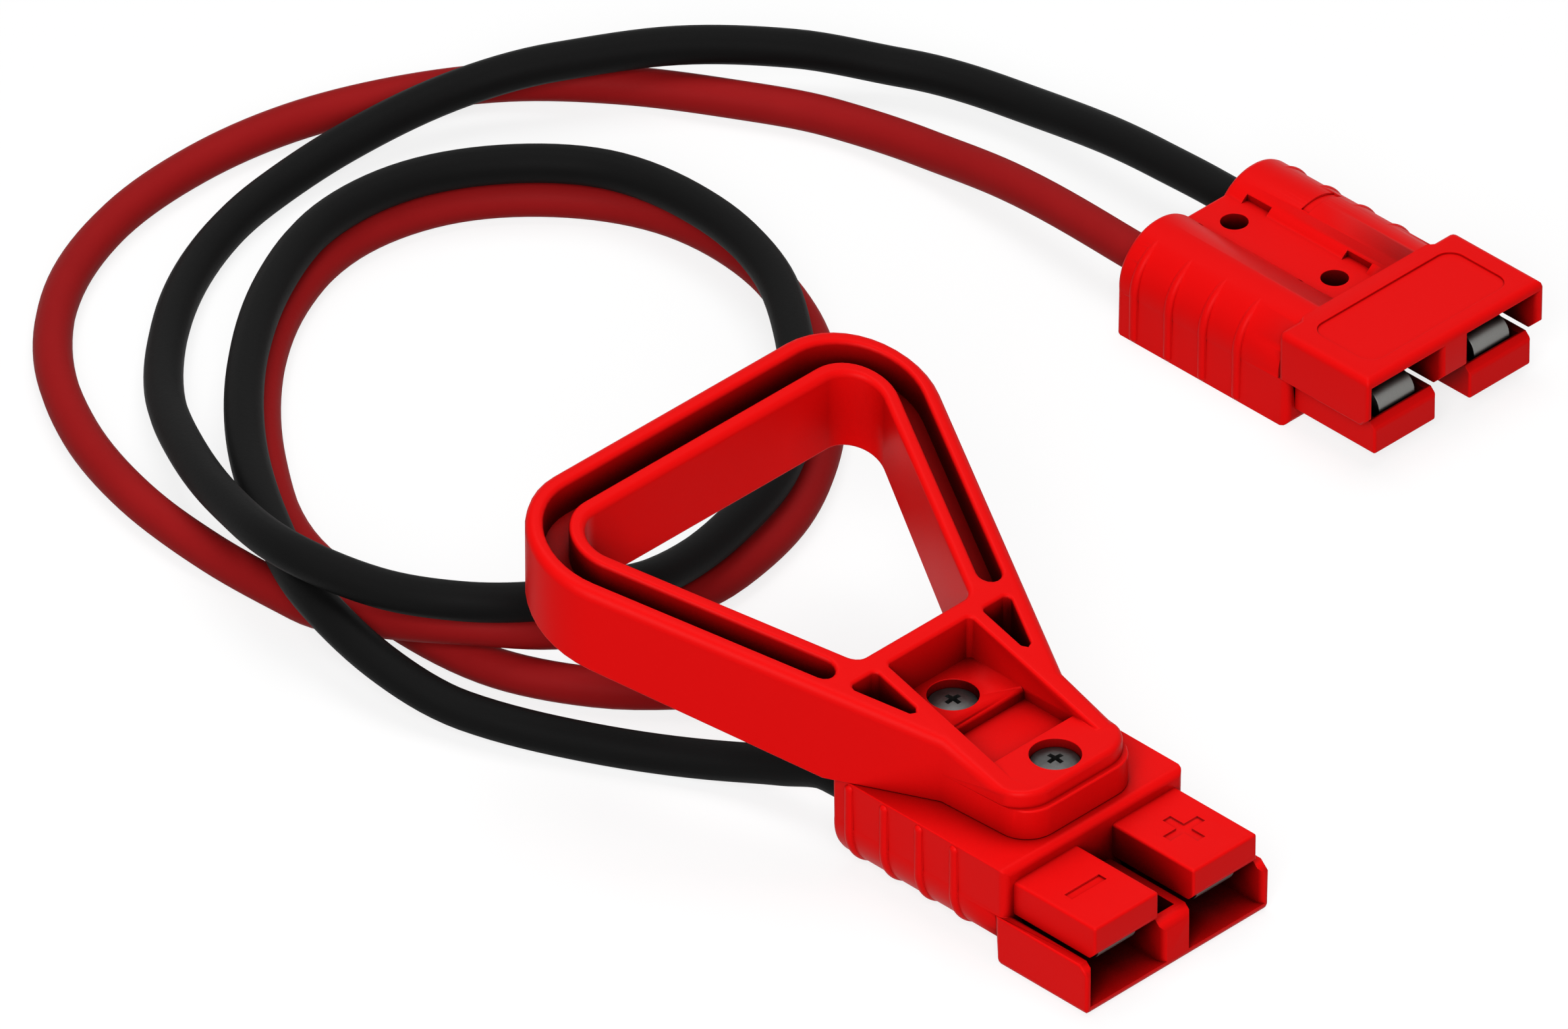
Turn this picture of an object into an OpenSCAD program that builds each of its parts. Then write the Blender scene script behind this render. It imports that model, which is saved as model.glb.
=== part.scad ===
// Power jumper cable: two genderless two-pole connectors joined by a red
// and a black cable, with a forked carrying handle screwed to one of them.
// Each connector is drawn in its own frame: X = 0 at the hood's front face,
// Z = 0 at the flat face of the body, hood opening upwards of the tongues.

/* [Connector housing] */
// Length from the hood's front face to the rear face
housing_length = 50.7; // [49:0.1:56]
// Height from the flat face to the hood's outer face
housing_height = 16.4; // [16.2:0.1:17.4]
// Distance between the two poles
pole_pitch = 19.7; // [19.2:0.1:21]
// Diameter of the two rounded lobes along the body
lobe_diameter = 16.3; // [15.8:0.1:16.6]
// Depth of the valley between the lobes
valley_depth = 2.6; // [2.4:0.1:3]
// Depth of the hood in front of the body
hood_reach = 16.4; // [15.5:0.1:17.5]
// Length of the hood that laps over the body
hood_lap = 1.8; // [1.4:0.1:2.4]
// Thickness of the hood's side walls
hood_wall = 1.55; // [1.3:0.05:2]
// Thickness of the hood's roof
hood_roof = 1.5; // [1.3:0.05:1.7]
// Bevel on the hood's free front edge
hood_bevel = 1.5; // [0.8:0.1:1.8]
// Bevel on the sides of each socket's mouth
mouth_bevel = 0.8; // [0.4:0.1:1.2]
// Thickness of the wall in front of the pocket in the centre post
post_front = 2.4; // [2:0.1:4]
// Thickness of the centre post's side walls
post_wall = 1.4; // [1.2:0.1:2]
// Length of the label panel sunk in the hood's roof
label_width = 29; // [24:0.5:30]
// Depth from front to back of the label panel
label_depth = 12.3; // [10:0.1:13]
// Corner radius of the label panel
label_corner = 2.5; // [1.5:0.1:4]
// Depth to which the label panel is sunk
label_sink = 0.35; // [0.2:0.05:0.5]
// Diameter of the ports at the rear
port_diameter = 9.8; // [9.6:0.1:10.6]
// Diameter of the two mounting holes
hole_diameter = 4.1; // [4:0.1:4.4]
// Distance between the mounting holes
hole_pitch = 20.2; // [19:0.1:21]
// Distance of the front mounting hole behind the hood's front face
hole_front = 24.3; // [23.5:0.1:25]
// Length of the notch in the lobes at each mounting hole
notch_length = 4.9; // [4.5:0.1:6]
// Width of the notch across the valley
notch_width = 10.4; // [9:0.1:11]

/* [Grip ribs] */
// Number of ribs on each side
rib_count = 4; // [2:1:4]
// Distance between ribs
rib_pitch = 6.9; // [6:0.1:7.4]
// Distance of the last rib from the rear face
rib_first = 3.6; // [3:0.1:5]
// Width of a rib
rib_width = 1.7; // [1.4:0.1:2]
// Height of a rib above the body's side
rib_proud = 0.55; // [0.4:0.05:0.7]
// Distance of a rib's round end from the flat face
rib_foot = 0.2; // [0.1:0.1:1]
// Inward shift of a rib's bend, which makes it fade into the lobe
rib_fade = 1.0; // [0.8:0.05:1.3]

/* [Tongues] */
// Width of a tongue
tongue_width = 12.75; // [12:0.05:13.2]
// Side clearance of a tongue in the other connector's socket
mating_gap = 0.475; // [0.3:0.025:0.7]
// Clearance of a tongue over the other connector's roof
roof_gap = 0.9; // [0.7:0.05:1.1]
// Drop of a tongue's contact side below the housing's middle
tongue_drop = 0.34; // [0.2:0.02:0.5]
// Setback of a tongue's tip behind the hood's front face
tongue_setback = 0.45; // [0.2:0.05:0.8]
// Thickness of a tongue's side walls
tongue_wall = 1.3; // [1:0.05:1.6]
// Thickness of the lip across a tongue's tip
tongue_lip = 1.45; // [1.2:0.05:1.8]
// Thickness of a tongue's floor
tongue_floor = 1.6; // [1.3:0.05:1.8]
// Bevel along the lip's front edge
lip_bevel = 1.1; // [0.6:0.05:1.2]

/* [Contacts] */
// Width of a contact blade
blade_width = 7.4; // [6.8:0.1:7.6]
// Thickness of a contact blade
blade_thickness = 1.6; // [1.4:0.05:1.8]
// Height of the blade's top above the housing's middle
blade_rise = 2.4; // [2.2:0.05:2.6]
// Outer radius of the blade's curled tip
tip_radius = 2.6; // [2.4:0.05:2.9]
// Length of the hook below the curl
tip_hook = 1.4; // [1:0.1:1.8]
// Gap between the blade's tip and the lip
tip_gap = 0.3; // [0.2:0.05:0.5]
// Outer diameter of the wire barrel
barrel_diameter = 7.4; // [7:0.1:7.8]
// Length of the wire barrel
barrel_length = 14; // [12:0.5:15]
// Distance of the barrel's front end behind the hood's front face
barrel_front = 24; // [23:0.1:26]
// Depth of the bore in the wire barrel
bore_depth = 11; // [9:0.5:11]
// Thickness of a leaf spring
spring_thickness = 0.6; // [0.5:0.05:0.8]
// Length of the flat foot of a leaf spring
spring_foot = 3; // [2:0.5:4]
// Length of the flat pad where a leaf spring carries the blade
spring_pad = 1.8; // [1.4:0.1:2.4]

/* [Cables] */
// Diameter of a cable over its jacket
cable_diameter = 5.8; // [5:0.1:5.8]
// Diameter of the bare wire end
core_diameter = 4.2; // [3.8:0.1:4.4]
// Clearance round the bare wire in its barrel
core_gap = 0.05; // [0.03:0.01:0.1]
// Length of bare wire between the jacket and the barrel
core_bare = 1.5; // [1:0.1:3]
// Length of bare wire inside the barrel
core_length = 10.5; // [8:0.5:10.5]
// Straight stretch of cable behind a housing
cable_straight = 8; // [6:0.5:10]

/* [Handle] */
// Distance of the nose behind the hood's front face
nose_setback = 18.4; // [18.4:0.1:19.4]
// Length of the nose, up to where the sides flare out
nose_length = 16.4; // [15.5:0.1:17.5]
// Half width of the nose where the flare starts
nose_half = 12.2; // [11.6:0.1:13]
// Narrowing of the nose towards its front, on each side
nose_taper = 0.6; // [0.3:0.1:1]
// Corner radius of the nose
nose_corner = 5; // [4:0.5:6]
// Height of the nose
nose_height = 7.5; // [7:0.1:8.5]
// Height of the flange round the foot of the nose
flange_height = 4.9; // [4:0.1:5.4]
// Width of the ledge on top of the flange at the front
flange_ledge = 0.95; // [0.6:0.05:1.3]
// Width by which the flange stands out at the sides
flange_side = 0.4; // [0.2:0.05:0.8]
// Angle of each side to the middle line
flare = 26; // [22:0.5:28]
// Length of the handle from nose to rear
handle_length = 82.6; // [78:0.2:92]
// Radius of the outer rear corners
bend_radius = 13.3; // [12:0.1:16]
// Thickness of the outer rail
outer_wall = 2.6; // [2.4:0.1:3.2]
// Width of the groove in the top
groove_width = 3.6; // [3.2:0.1:4]
// Thickness of the inner rail
inner_wall = 2.3; // [2:0.1:3]
// Depth of the groove
groove_depth = 5.3; // [4:0.1:6]
// Setback of the groove's round ends behind the hand opening's front
groove_setback = 1.7; // [1:0.1:3]
// Slope of the handle's top, in degrees
top_slope = 15.8; // [14:0.1:16.5]
// Slope of the handle's underside, in degrees
under_slope = 18.9; // [17:0.1:19.5]
// Distance behind the nose at which the top starts to rise
rise_start = 5.7; // [5.4:0.1:7]
// Distance behind the nose at which the underside starts to rise
foot_length = 33.2; // [32.5:0.1:36]
// Distance of the hand opening behind the nose
opening_start = 33.8; // [33.4:0.1:36]
// Radius of the hand opening's front corners
opening_corner = 2.5; // [1.5:0.1:4]
// Thickness of the web between the hand opening and the pockets
web = 2.8; // [2.4:0.1:3.2]
// Half width of the screw pocket
pocket_half = 8.3; // [7.8:0.1:8.6]
// Thickness of the ribs beside the screw pocket
pocket_rib = 2.3; // [2:0.1:2.6]
// Thickness of the side walls beside the corner pockets
pocket_wall = 2.9; // [2.4:0.1:3.2]
// Corner radius of the pockets, seen from above
pocket_corner = 0.8; // [0.5:0.1:1]
// Distance of the sunk panel in the nose behind the nose's front
panel_start = 10.7; // [10:0.1:11.5]
// Length of the sunk panel
panel_length = 9.5; // [8.5:0.1:10]
// Depth of the sunk panel
panel_sink = 2; // [1.2:0.1:2.6]

/* [Fasteners] */
// Diameter of the screw shank
screw_diameter = 3.9; // [3.5:0.1:3.9]
// Clearance round the screw in the handle
screw_gap = 0.2; // [0.1:0.05:0.3]
// Diameter of the screw head
head_diameter = 7.2; // [6.6:0.1:7.6]
// Height of the screw head's rim
head_rim = 0.8; // [0.5:0.1:1]
// Height of the dome above the rim
head_dome = 1.5; // [1:0.1:1.7]
// Clearance round the screw head in its counterbore
head_gap = 0.15; // [0.1:0.05:0.3]
// Depth of the counterbore
head_sink = 3; // [2.6:0.1:3.4]
// Length of the cross recess
recess_length = 3.6; // [3.2:0.1:4.6]
// Width of the cross recess
recess_width = 0.9; // [0.7:0.05:1.2]
// Depth of the cross recess
recess_depth = 1.4; // [0.8:0.1:1.8]
// Width across the flats of a nut
nut_flats = 7; // [6.5:0.1:7.2]
// Height of a nut
nut_height = 2.2; // [1.8:0.1:2.3]
// Clearance of the thread in a nut
nut_gap = 0.05; // [0.03:0.01:0.1]

/* [Layout] */
// Distance from the rear connector's front to the front connector's front
layout_x = 63.8; // [60:0.1:70]
// Distance between the connectors' middle lines
layout_y = 122.3; // [118:0.1:126]

/* [Hidden] */

$fn = 48;
// Overlap of cutting shapes past the faces that they open
past = 1;

// Housing, in the connector's own frame
middle = housing_height / 2;
lobe_r = lobe_diameter / 2;
lobe_z = housing_height - lobe_r;
shoulder_step = 0.1;
shoulder_drop = 0.75;
shoulder_z = lobe_z - shoulder_drop;
body_half = pole_pitch / 2 + lobe_r + shoulder_step;
valley_z = housing_height - valley_depth;
socket_width = tongue_width + 2 * mating_gap;
hood_half = pole_pitch / 2 + socket_width / 2 + hood_wall;
hood_edge_drop = 0.1;
hood_edge_z = middle - hood_edge_drop;
post_half = (pole_pitch - socket_width) / 2;
roof_z = housing_height - hood_roof;
hole_x = [-hole_front, -hole_front - hole_pitch];
tongue_z = hood_roof + roof_gap;
tongue_top = middle - tongue_drop;
tray_z = tongue_z + tongue_floor;
rib_reach = body_half - rib_width / 2 + rib_proud;
rib_sweep = 85;

// Contacts, in the connector's own frame
positive = -1;
negative = 1;
blade_top = middle + blade_rise;
blade_under = blade_top - blade_thickness;
tip_x = -tongue_setback - tongue_lip - tip_gap;
curl_x = tip_x - tip_radius;
curl_z = blade_top - tip_radius;
barrel_rear = -barrel_front - barrel_length;
blade_lap = 2;
blade_rear = -barrel_front - blade_lap;
core_front = barrel_rear + core_length;
jacket_end = barrel_rear - core_bare;
spring_rear = -hood_reach;

// Handle, in the front connector's frame with Z = 0 on the flat face
nose_x = -nose_setback;
kink_x = nose_x - nose_length;
rear_x = nose_x - handle_length;
rise_x = nose_x - rise_start;
foot_x = nose_x - foot_length;
opening_x = nose_x - opening_start;
pocket_x = opening_x + web;
panel_x = nose_x - panel_start;
rail = outer_wall + groove_width + inner_wall;
bend_centre = [rear_x + bend_radius, side_y(rear_x + bend_radius, bend_radius)];
handle_half = bend_centre[1] + bend_radius;
seat_z = nose_height - head_sink;
nut_z = -valley_z - nut_height;
turn = 90 - flare;

// Places of the two connectors: the box of the rigid pieces is centred
box_x = layout_x + housing_length;
box_y = layout_y + handle_half + hood_half;
front_at = [box_x / 2, handle_half - box_y / 2, housing_height];
rear_at = [box_x / 2 - layout_x, front_at[1] + layout_y, 0];

// Points of the cables between the straight stretches at their ends
red_way = [
    [-72, 61.5, 8.5], [-89, 62, 6.5], [-106, 62, 4], [-122, 59, 3], [-136, 52, 3], [-150, 43, 3],
    [-162, 32, 3], [-171, 18, 3], [-177, 2, 3], [-179, -15, 3], [-177, -33, 3], [-170, -50, 3],
    [-158, -64, 3], [-142, -74, 3], [-125, -79.5, 3], [-107, -81.5, 3], [-90, -81, 3], [-75, -80, 6.5],
    [-61, -76, 10], [-53, -63, 8], [-51, -47, 4.5], [-51, -32, 3], [-55, -16, 3], [-64, -1, 3],
    [-76, 11, 3], [-90, 20, 3], [-106, 25, 3], [-122, 24, 3], [-136, 16, 3], [-146, 3, 3],
    [-149, -13, 3], [-144, -30, 3], [-133, -46, 3], [-118, -60, 3], [-100, -71, 3], [-80, -74, 3],
    [-60, -73, 3], [-45, -66, 3], [-27, -51, 4.5], [-13, -44, 6.5]];
black_way = [
    [-76, 80, 8], [-88, 80, 7], [-105, 79, 5], [-121, 73, 5.5], [-133, 62, 8.5], [-144, 49, 10],
    [-154, 34, 9.5], [-162, 20, 7], [-166, 3, 4.5], [-166, -14, 3], [-161, -31, 3], [-152, -46, 3.5],
    [-138, -61, 5.5], [-122, -72, 9], [-104, -81, 13], [-87, -86, 16], [-72, -83, 15.5], [-60.5, -77.5, 16],
    [-53, -68, 15], [-51, -58, 13], [-50, -49, 11], [-53, -31, 9], [-58, -16, 9], [-68, -2, 9],
    [-81, 10, 9], [-95, 19, 9], [-111, 23, 9], [-128, 21, 9], [-140, 12, 9], [-148, -2, 9],
    [-149, -18, 9], [-143, -34, 9], [-132, -50, 9], [-118, -64, 9], [-101, -76, 9.5], [-83, -85, 9.5],
    [-67, -87, 7], [-53, -84, 4], [-36, -76, 3], [-17, -67, 4], [-7, -63.5, 6.5]];
cable_sides = 12;
fillet_steps = 4;

// Half width of the handle's flared side at x, moved inwards by inset
function side_y(x, inset) = nose_half + (kink_x - x) * tan(flare) - inset / cos(flare);

// Points along an arc from angle a to angle b
function arc(centre, r, a, b, steps) =
    [for (i = [0:steps]) let (t = a + (b - a) * i / steps) centre + r * [cos(t), sin(t)]];

function reversed(p) = [for (i = [len(p) - 1:-1:0]) p[i]];

// Closed outline from its +Y half, which runs from front to rear
function both_sides(p) = concat(p, [for (q = reversed(p)) [q[0], -q[1]]]);

// Rear corner of the handle, moved inwards by inset
function rear_bend(inset) = arc(bend_centre, bend_radius - inset, turn, 180, 14);

// Nose corner, moved back by ledge and inwards by side
function nose_bend(ledge, side) =
    let (half = nose_half - nose_taper - side)
    arc([nose_x - ledge - nose_corner, half - nose_corner], nose_corner, 0, 90, 9);

function unit(v) = v / norm(v);

// Arc that rounds the corner at b, between its neighbours a and c
function fillet(a, b, c, r) =
    let (u = unit(a - b), v = unit(c - b), half = acos(u * v) / 2)
    let (centre = b + unit(u + v) * r / sin(half), back = r / tan(half))
    [for (i = [0:fillet_steps]) let (t = i / fillet_steps)
        centre + r * unit((b + u * back - centre) * (1 - t) + (b + v * back - centre) * t)];

// Closed outline with all its corners rounded
function rounded(p, r) = let (n = len(p))
    [for (i = [0:n - 1]) each fillet(p[(i + n - 1) % n], p[i], p[(i + 1) % n], r)];

// Direction of a path at point i
function heading(p, i) = unit(p[min(i + 1, len(p) - 1)] - p[max(i - 1, 0)]);

// Ring of a tube round point i of a path
function ring(p, i, r) =
    let (ahead = heading(p, i), across = unit(cross(ahead, [0, 0, 1])), up = cross(across, ahead))
    [for (k = [0:cable_sides - 1]) let (a = k * 360 / cable_sides)
        p[i] + r * (cos(a) * across + sin(a) * up)];

// Whole path of a cable from the rear connector to the front one
function cable_path(pole, way) =
    let (rear_y = rear_at[1] + pole * pole_pitch / 2, front_y = front_at[1] - pole * pole_pitch / 2)
    let (front_z = front_at[2] - lobe_z, behind = -housing_length - cable_straight)
    concat(
        [[rear_at[0] + jacket_end, rear_y, lobe_z], [rear_at[0] + behind, rear_y, lobe_z]],
        way,
        [[front_at[0] + behind, front_y, front_z], [front_at[0] + jacket_end, front_y, front_z]]);

module at_front() { translate(front_at) rotate([180, 0, 0]) children(); }

module at_rear() { translate(rear_at) children(); }

// Turns a flat shape in (Y, Z) so that it is extruded along X
module along_x() { rotate([90, 0, 90]) children(); }

// Extrudes a flat shape in (X, Z) evenly to both sides of Y = 0
module across_y(width) { rotate([90, 0, 0]) linear_extrude(width, center = true) children(); }

module both_y() { children(); mirror([0, 1, 0]) children(); }

module rounded_square(size, r) {
    square([size[0] - 2 * r, size[1]], center = true);
    square([size[0], size[1] - 2 * r], center = true);
    for (x = [-1, 1], y = [-1, 1])
        translate([x * (size[0] / 2 - r), y * (size[1] / 2 - r)]) circle(r);
}

// Cross section of the body: flat below, two lobes with a valley above
module body_section() {
    translate([-body_half, 0]) square([2 * body_half, shoulder_z]);
    translate([-pole_pitch / 2, 0]) square([pole_pitch, valley_z]);
    intersection() {
        translate([-body_half, 0]) square([2 * body_half, housing_height]);
        for (s = [-1, 1]) translate([s * pole_pitch / 2, lobe_z]) circle(lobe_r);
    }
}

// Half-round rib with a round end that climbs the side and fades into the lobe
module rib() {
    r = rib_width / 2;
    height = lobe_z - rib_foot;
    translate([0, rib_reach, rib_foot]) rotate_extrude()
        polygon(concat(arc([0, r], r, -90, 0, 5), [[r, height], [0, height]]));
    bend = pole_pitch / 2 + rib_fade;
    translate([0, bend, lobe_z]) along_x() rotate_extrude(angle = rib_sweep)
        translate([rib_reach - bend, 0]) circle(d = rib_width);
}

module socket_cut() {
    half = socket_width / 2;
    translate([0, 0, hood_edge_z - past]) linear_extrude(roof_z - hood_edge_z + past)
        polygon([[-hood_reach, -half], [-mouth_bevel, -half], [past, -half - mouth_bevel - past],
            [past, half + mouth_bevel + past], [-mouth_bevel, half], [-hood_reach, half]]);
}

module hood() {
    difference() {
        translate([-hood_reach - hood_lap, -hood_half, hood_edge_z])
            cube([hood_reach + hood_lap, 2 * hood_half, housing_height - hood_edge_z]);
        for (s = [-1, 1]) translate([0, s * pole_pitch / 2, 0]) socket_cut();
        across_y(2 * hood_half + 2 * past)
            polygon([[-hood_bevel - past, hood_edge_z - past], [past, hood_edge_z - past],
                [past, hood_edge_z + hood_bevel + past]]);
        translate([-hood_reach, post_wall - post_half, hood_edge_z - past])
            cube([hood_reach - post_front, 2 * (post_half - post_wall), roof_z - hood_edge_z + past]);
        translate([-(hood_reach + hood_lap) / 2, 0, housing_height - label_sink])
            linear_extrude(label_sink + past) rounded_square([label_depth, label_width], label_corner);
    }
}

// One tongue, a tray that holds the contact blade
module tongue() {
    length = hood_reach - tongue_setback;
    difference() {
        translate([-hood_reach - past, -tongue_width / 2, tongue_z])
            cube([length + past, tongue_width, tongue_top - tongue_z]);
        translate([-hood_reach, tongue_wall - tongue_width / 2, tray_z])
            cube([length - tongue_lip, tongue_width - 2 * tongue_wall, tongue_top - tray_z + past]);
        across_y(tongue_width + 2 * past)
            polygon([[-tongue_setback - lip_bevel - past, tongue_top + past],
                [-tongue_setback + past, tongue_top + past],
                [-tongue_setback + past, tongue_top - lip_bevel - past]]);
    }
}

module housing() {
    body_length = housing_length - hood_reach;
    difference() {
        union() {
            translate([-housing_length, 0, 0]) along_x() linear_extrude(body_length) body_section();
            both_y() for (i = [0:rib_count - 1])
                translate([-housing_length + rib_first + i * rib_pitch, 0, 0]) rib();
            hood();
        }
        for (s = [-1, 1]) translate([-housing_length - past, s * pole_pitch / 2, lobe_z])
            rotate([0, 90, 0]) cylinder(d = port_diameter, h = body_length + 2 * past);
        for (x = hole_x) translate([x, 0, 0]) {
            translate([0, 0, -past]) cylinder(d = hole_diameter, h = housing_height + 2 * past);
            translate([-notch_length / 2, -notch_width / 2, valley_z])
                cube([notch_length, notch_width, valley_depth + past]);
        }
    }
    for (s = [-1, 1]) translate([0, s * pole_pitch / 2, 0]) tongue();
}

// Flat blade with a curled tip that hooks behind the tongue's lip
module blade() {
    outer = arc([curl_x, curl_z], tip_radius, 90, 0, 8);
    inner = arc([curl_x, curl_z], tip_radius - blade_thickness, 0, 90, 8);
    across_y(blade_width) polygon(concat(
        [[blade_rear, blade_top]], outer,
        [[tip_x, curl_z - tip_hook], [tip_x - blade_thickness, curl_z - tip_hook]], inner,
        [[blade_rear, blade_under]]));
}

module contact(pole) {
    color("silver") translate([0, pole * pole_pitch / 2, 0]) {
        blade();
        difference() {
            translate([barrel_rear, 0, lobe_z]) rotate([0, 90, 0])
                cylinder(d = barrel_diameter, h = barrel_length);
            translate([barrel_rear - past, 0, lobe_z]) rotate([0, 90, 0])
                cylinder(d = core_diameter + 2 * core_gap, h = bore_depth + past);
        }
    }
}

// Leaf spring: a foot on the tray's floor, a ramp and a pad under the blade
module spring(pole) {
    pad_x = curl_x - spring_pad;
    foot_end = spring_rear + spring_foot;
    color("lightsteelblue") translate([0, pole * pole_pitch / 2, 0]) across_y(blade_width)
        polygon([[spring_rear, tray_z], [foot_end, tray_z],
            [pad_x, blade_under - spring_thickness], [curl_x, blade_under - spring_thickness],
            [curl_x, blade_under], [pad_x - spring_thickness / 2, blade_under],
            [foot_end - spring_thickness / 2, tray_z + spring_thickness],
            [spring_rear, tray_z + spring_thickness]]);
}

module core(pole) {
    color("darkorange") translate([jacket_end, pole * pole_pitch / 2, lobe_z]) rotate([0, 90, 0])
        cylinder(d = core_diameter, h = core_front - jacket_end);
}

// Solid of the handle between its top and underside, before the cut-outs
module handle_block() {
    back = rear_x - past;
    front = nose_x + past;
    intersection() {
        across_y(4 * handle_half)
            polygon([[front, 0], [foot_x, 0], [back, (foot_x - back) * tan(under_slope)],
                [back, nose_height + (rise_x - back) * tan(top_slope)],
                [rise_x, nose_height], [front, nose_height]]);
        union() {
            linear_extrude(4 * handle_half)
                polygon(both_sides(concat(nose_bend(flange_ledge, flange_side),
                    [[kink_x, nose_half]], rear_bend(0))));
            linear_extrude(flange_height)
                polygon(both_sides(concat(nose_bend(0, 0), [[kink_x, nose_half]])));
        }
    }
}

// Groove along the top of both sides and round the rear, with round ends
module groove() {
    end_x = opening_x - groove_setback;
    centre_inset = outer_wall + groove_width / 2;
    cap = arc([end_x, side_y(end_x, centre_inset)], groove_width / 2, turn - 180, turn, 8);
    inner_bend = rear_bend(outer_wall + groove_width);
    floor_z = nose_height - groove_depth;
    intersection() {
        linear_extrude(4 * handle_half) polygon(concat(
            both_sides(concat(cap, rear_bend(outer_wall))), reversed(both_sides(inner_bend))));
        across_y(4 * handle_half)
            polygon([[rise_x, floor_z], [rise_x, 4 * handle_half], [rear_x, 4 * handle_half],
                [rear_x, floor_z + (rise_x - rear_x) * tan(top_slope)]]);
    }
}

module hand_opening() {
    x = opening_x - opening_corner;
    corner = arc([x, side_y(x, rail + opening_corner)], opening_corner, 0, turn, 5);
    translate([0, 0, -past]) linear_extrude(4 * handle_half)
        polygon(both_sides(concat(corner, rear_bend(rail))));
}

// Three-cornered pocket between the screw pocket and the flared side
module corner_pocket() {
    rib_y = pocket_half + pocket_rib;
    tip = kink_x - (rib_y - nose_half + pocket_wall / cos(flare)) / tan(flare);
    translate([0, 0, -past]) linear_extrude(4 * handle_half)
        polygon(rounded([[pocket_x, rib_y], [tip, rib_y],
            [pocket_x, side_y(pocket_x, pocket_wall)]], pocket_corner));
}

module handle() {
    panel_rear = panel_x - panel_length;
    pocket_front = rise_x + past;
    pocket = [[pocket_x, -pocket_half], [pocket_front, -pocket_half],
        [pocket_front, pocket_half], [pocket_x, pocket_half]];
    color("red") translate(front_at) difference() {
        handle_block();
        groove();
        hand_opening();
        both_y() corner_pocket();
        translate([0, 0, nose_height]) linear_extrude(handle_half)
            polygon(rounded(pocket, pocket_corner));
        translate([panel_rear, -pocket_half, nose_height - panel_sink])
            cube([panel_length, 2 * pocket_half, handle_half]);
        for (x = hole_x) translate([x, 0, 0]) {
            translate([0, 0, -past]) cylinder(d = screw_diameter + 2 * screw_gap, h = nose_height);
            translate([0, 0, seat_z]) cylinder(d = head_diameter + 2 * head_gap, h = handle_half);
        }
    }
}

// Screw with its head seat at Z = 0
module screw() {
    head = head_rim + head_dome;
    ball = ((head_diameter / 2) ^ 2 + head_dome ^ 2) / (2 * head_dome);
    length = seat_z - nut_z;
    translate([0, 0, -length]) cylinder(d = screw_diameter, h = length + head_rim / 2);
    difference() {
        intersection() {
            cylinder(d = head_diameter, h = head + past);
            translate([0, 0, head - ball]) sphere(ball);
        }
        for (a = [0, 90]) rotate([0, 0, a])
            translate([-recess_length / 2, -recess_width / 2, head - recess_depth])
                cube([recess_length, recess_width, recess_depth + past]);
    }
}

module handle_screws() {
    color("dimgray") translate(front_at) for (x = hole_x) translate([x, 0, seat_z]) screw();
}

module handle_nuts() {
    color("silver") translate(front_at) for (x = hole_x) translate([x, 0, nut_z]) difference() {
        cylinder(d = nut_flats / cos(30), h = nut_height, $fn = 6);
        translate([0, 0, -past]) cylinder(d = screw_diameter + 2 * nut_gap, h = nut_height + 2 * past);
    }
}

// Tube of the cable's diameter along a path
module tube(path) {
    last = len(path) - 1;
    n = cable_sides;
    points = [for (i = [0:last]) each ring(path, i, cable_diameter / 2)];
    sides = [for (i = [0:last - 1], k = [0:n - 1])
        let (a = i * n + k, b = i * n + (k + 1) % n) each [[a, b, b + n], [a, b + n, a + n]]];
    polyhedron(points, concat([reversed([for (k = [0:n - 1]) k])], sides,
        [[for (k = [0:n - 1]) last * n + k]]));
}

module red_cable() { color("firebrick") tube(cable_path(positive, red_way)); }
module black_cable() { color([0.1, 0.1, 0.1]) tube(cable_path(negative, black_way)); }

handle();
handle_screws();
handle_nuts();
at_front() color("red") housing();  // front_housing
at_rear() color("red") housing();  // rear_housing
at_front() contact(positive);  // front_positive_contact
at_front() contact(negative);  // front_negative_contact
at_rear() contact(positive);  // rear_positive_contact
at_rear() contact(negative);  // rear_negative_contact
at_front() spring(positive);  // front_positive_spring
at_front() spring(negative);  // front_negative_spring
at_rear() spring(positive);  // rear_positive_spring
at_rear() spring(negative);  // rear_negative_spring
at_front() core(positive);  // front_positive_core
at_front() core(negative);  // front_negative_core
at_rear() core(positive);  // rear_positive_core
at_rear() core(negative);  // rear_negative_core
red_cable();
black_cable();
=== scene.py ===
import math

import bmesh
import bpy
from mathutils import Matrix, Vector


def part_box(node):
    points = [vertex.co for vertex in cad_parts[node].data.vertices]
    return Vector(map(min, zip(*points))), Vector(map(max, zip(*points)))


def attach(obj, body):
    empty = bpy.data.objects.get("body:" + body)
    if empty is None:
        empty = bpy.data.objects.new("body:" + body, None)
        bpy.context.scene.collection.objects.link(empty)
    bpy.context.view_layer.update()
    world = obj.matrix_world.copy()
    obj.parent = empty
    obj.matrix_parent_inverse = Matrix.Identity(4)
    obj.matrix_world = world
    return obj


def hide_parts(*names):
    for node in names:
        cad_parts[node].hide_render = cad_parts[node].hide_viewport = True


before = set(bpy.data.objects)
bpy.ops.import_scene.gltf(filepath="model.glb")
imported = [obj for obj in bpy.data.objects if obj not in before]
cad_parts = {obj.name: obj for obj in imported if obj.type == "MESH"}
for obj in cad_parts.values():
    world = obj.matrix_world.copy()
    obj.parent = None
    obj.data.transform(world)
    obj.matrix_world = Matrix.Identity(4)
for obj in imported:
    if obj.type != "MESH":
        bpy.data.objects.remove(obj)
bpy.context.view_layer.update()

MM = 0.001
X, Y, Z = range(3)


def front_middle(node):
    """Middle of a housing's front edge on the floor, in millimetres."""
    low, high = (Vector(corner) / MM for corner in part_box(node))
    return Vector((high.x, (low.y + high.y) / 2, 0))


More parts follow.
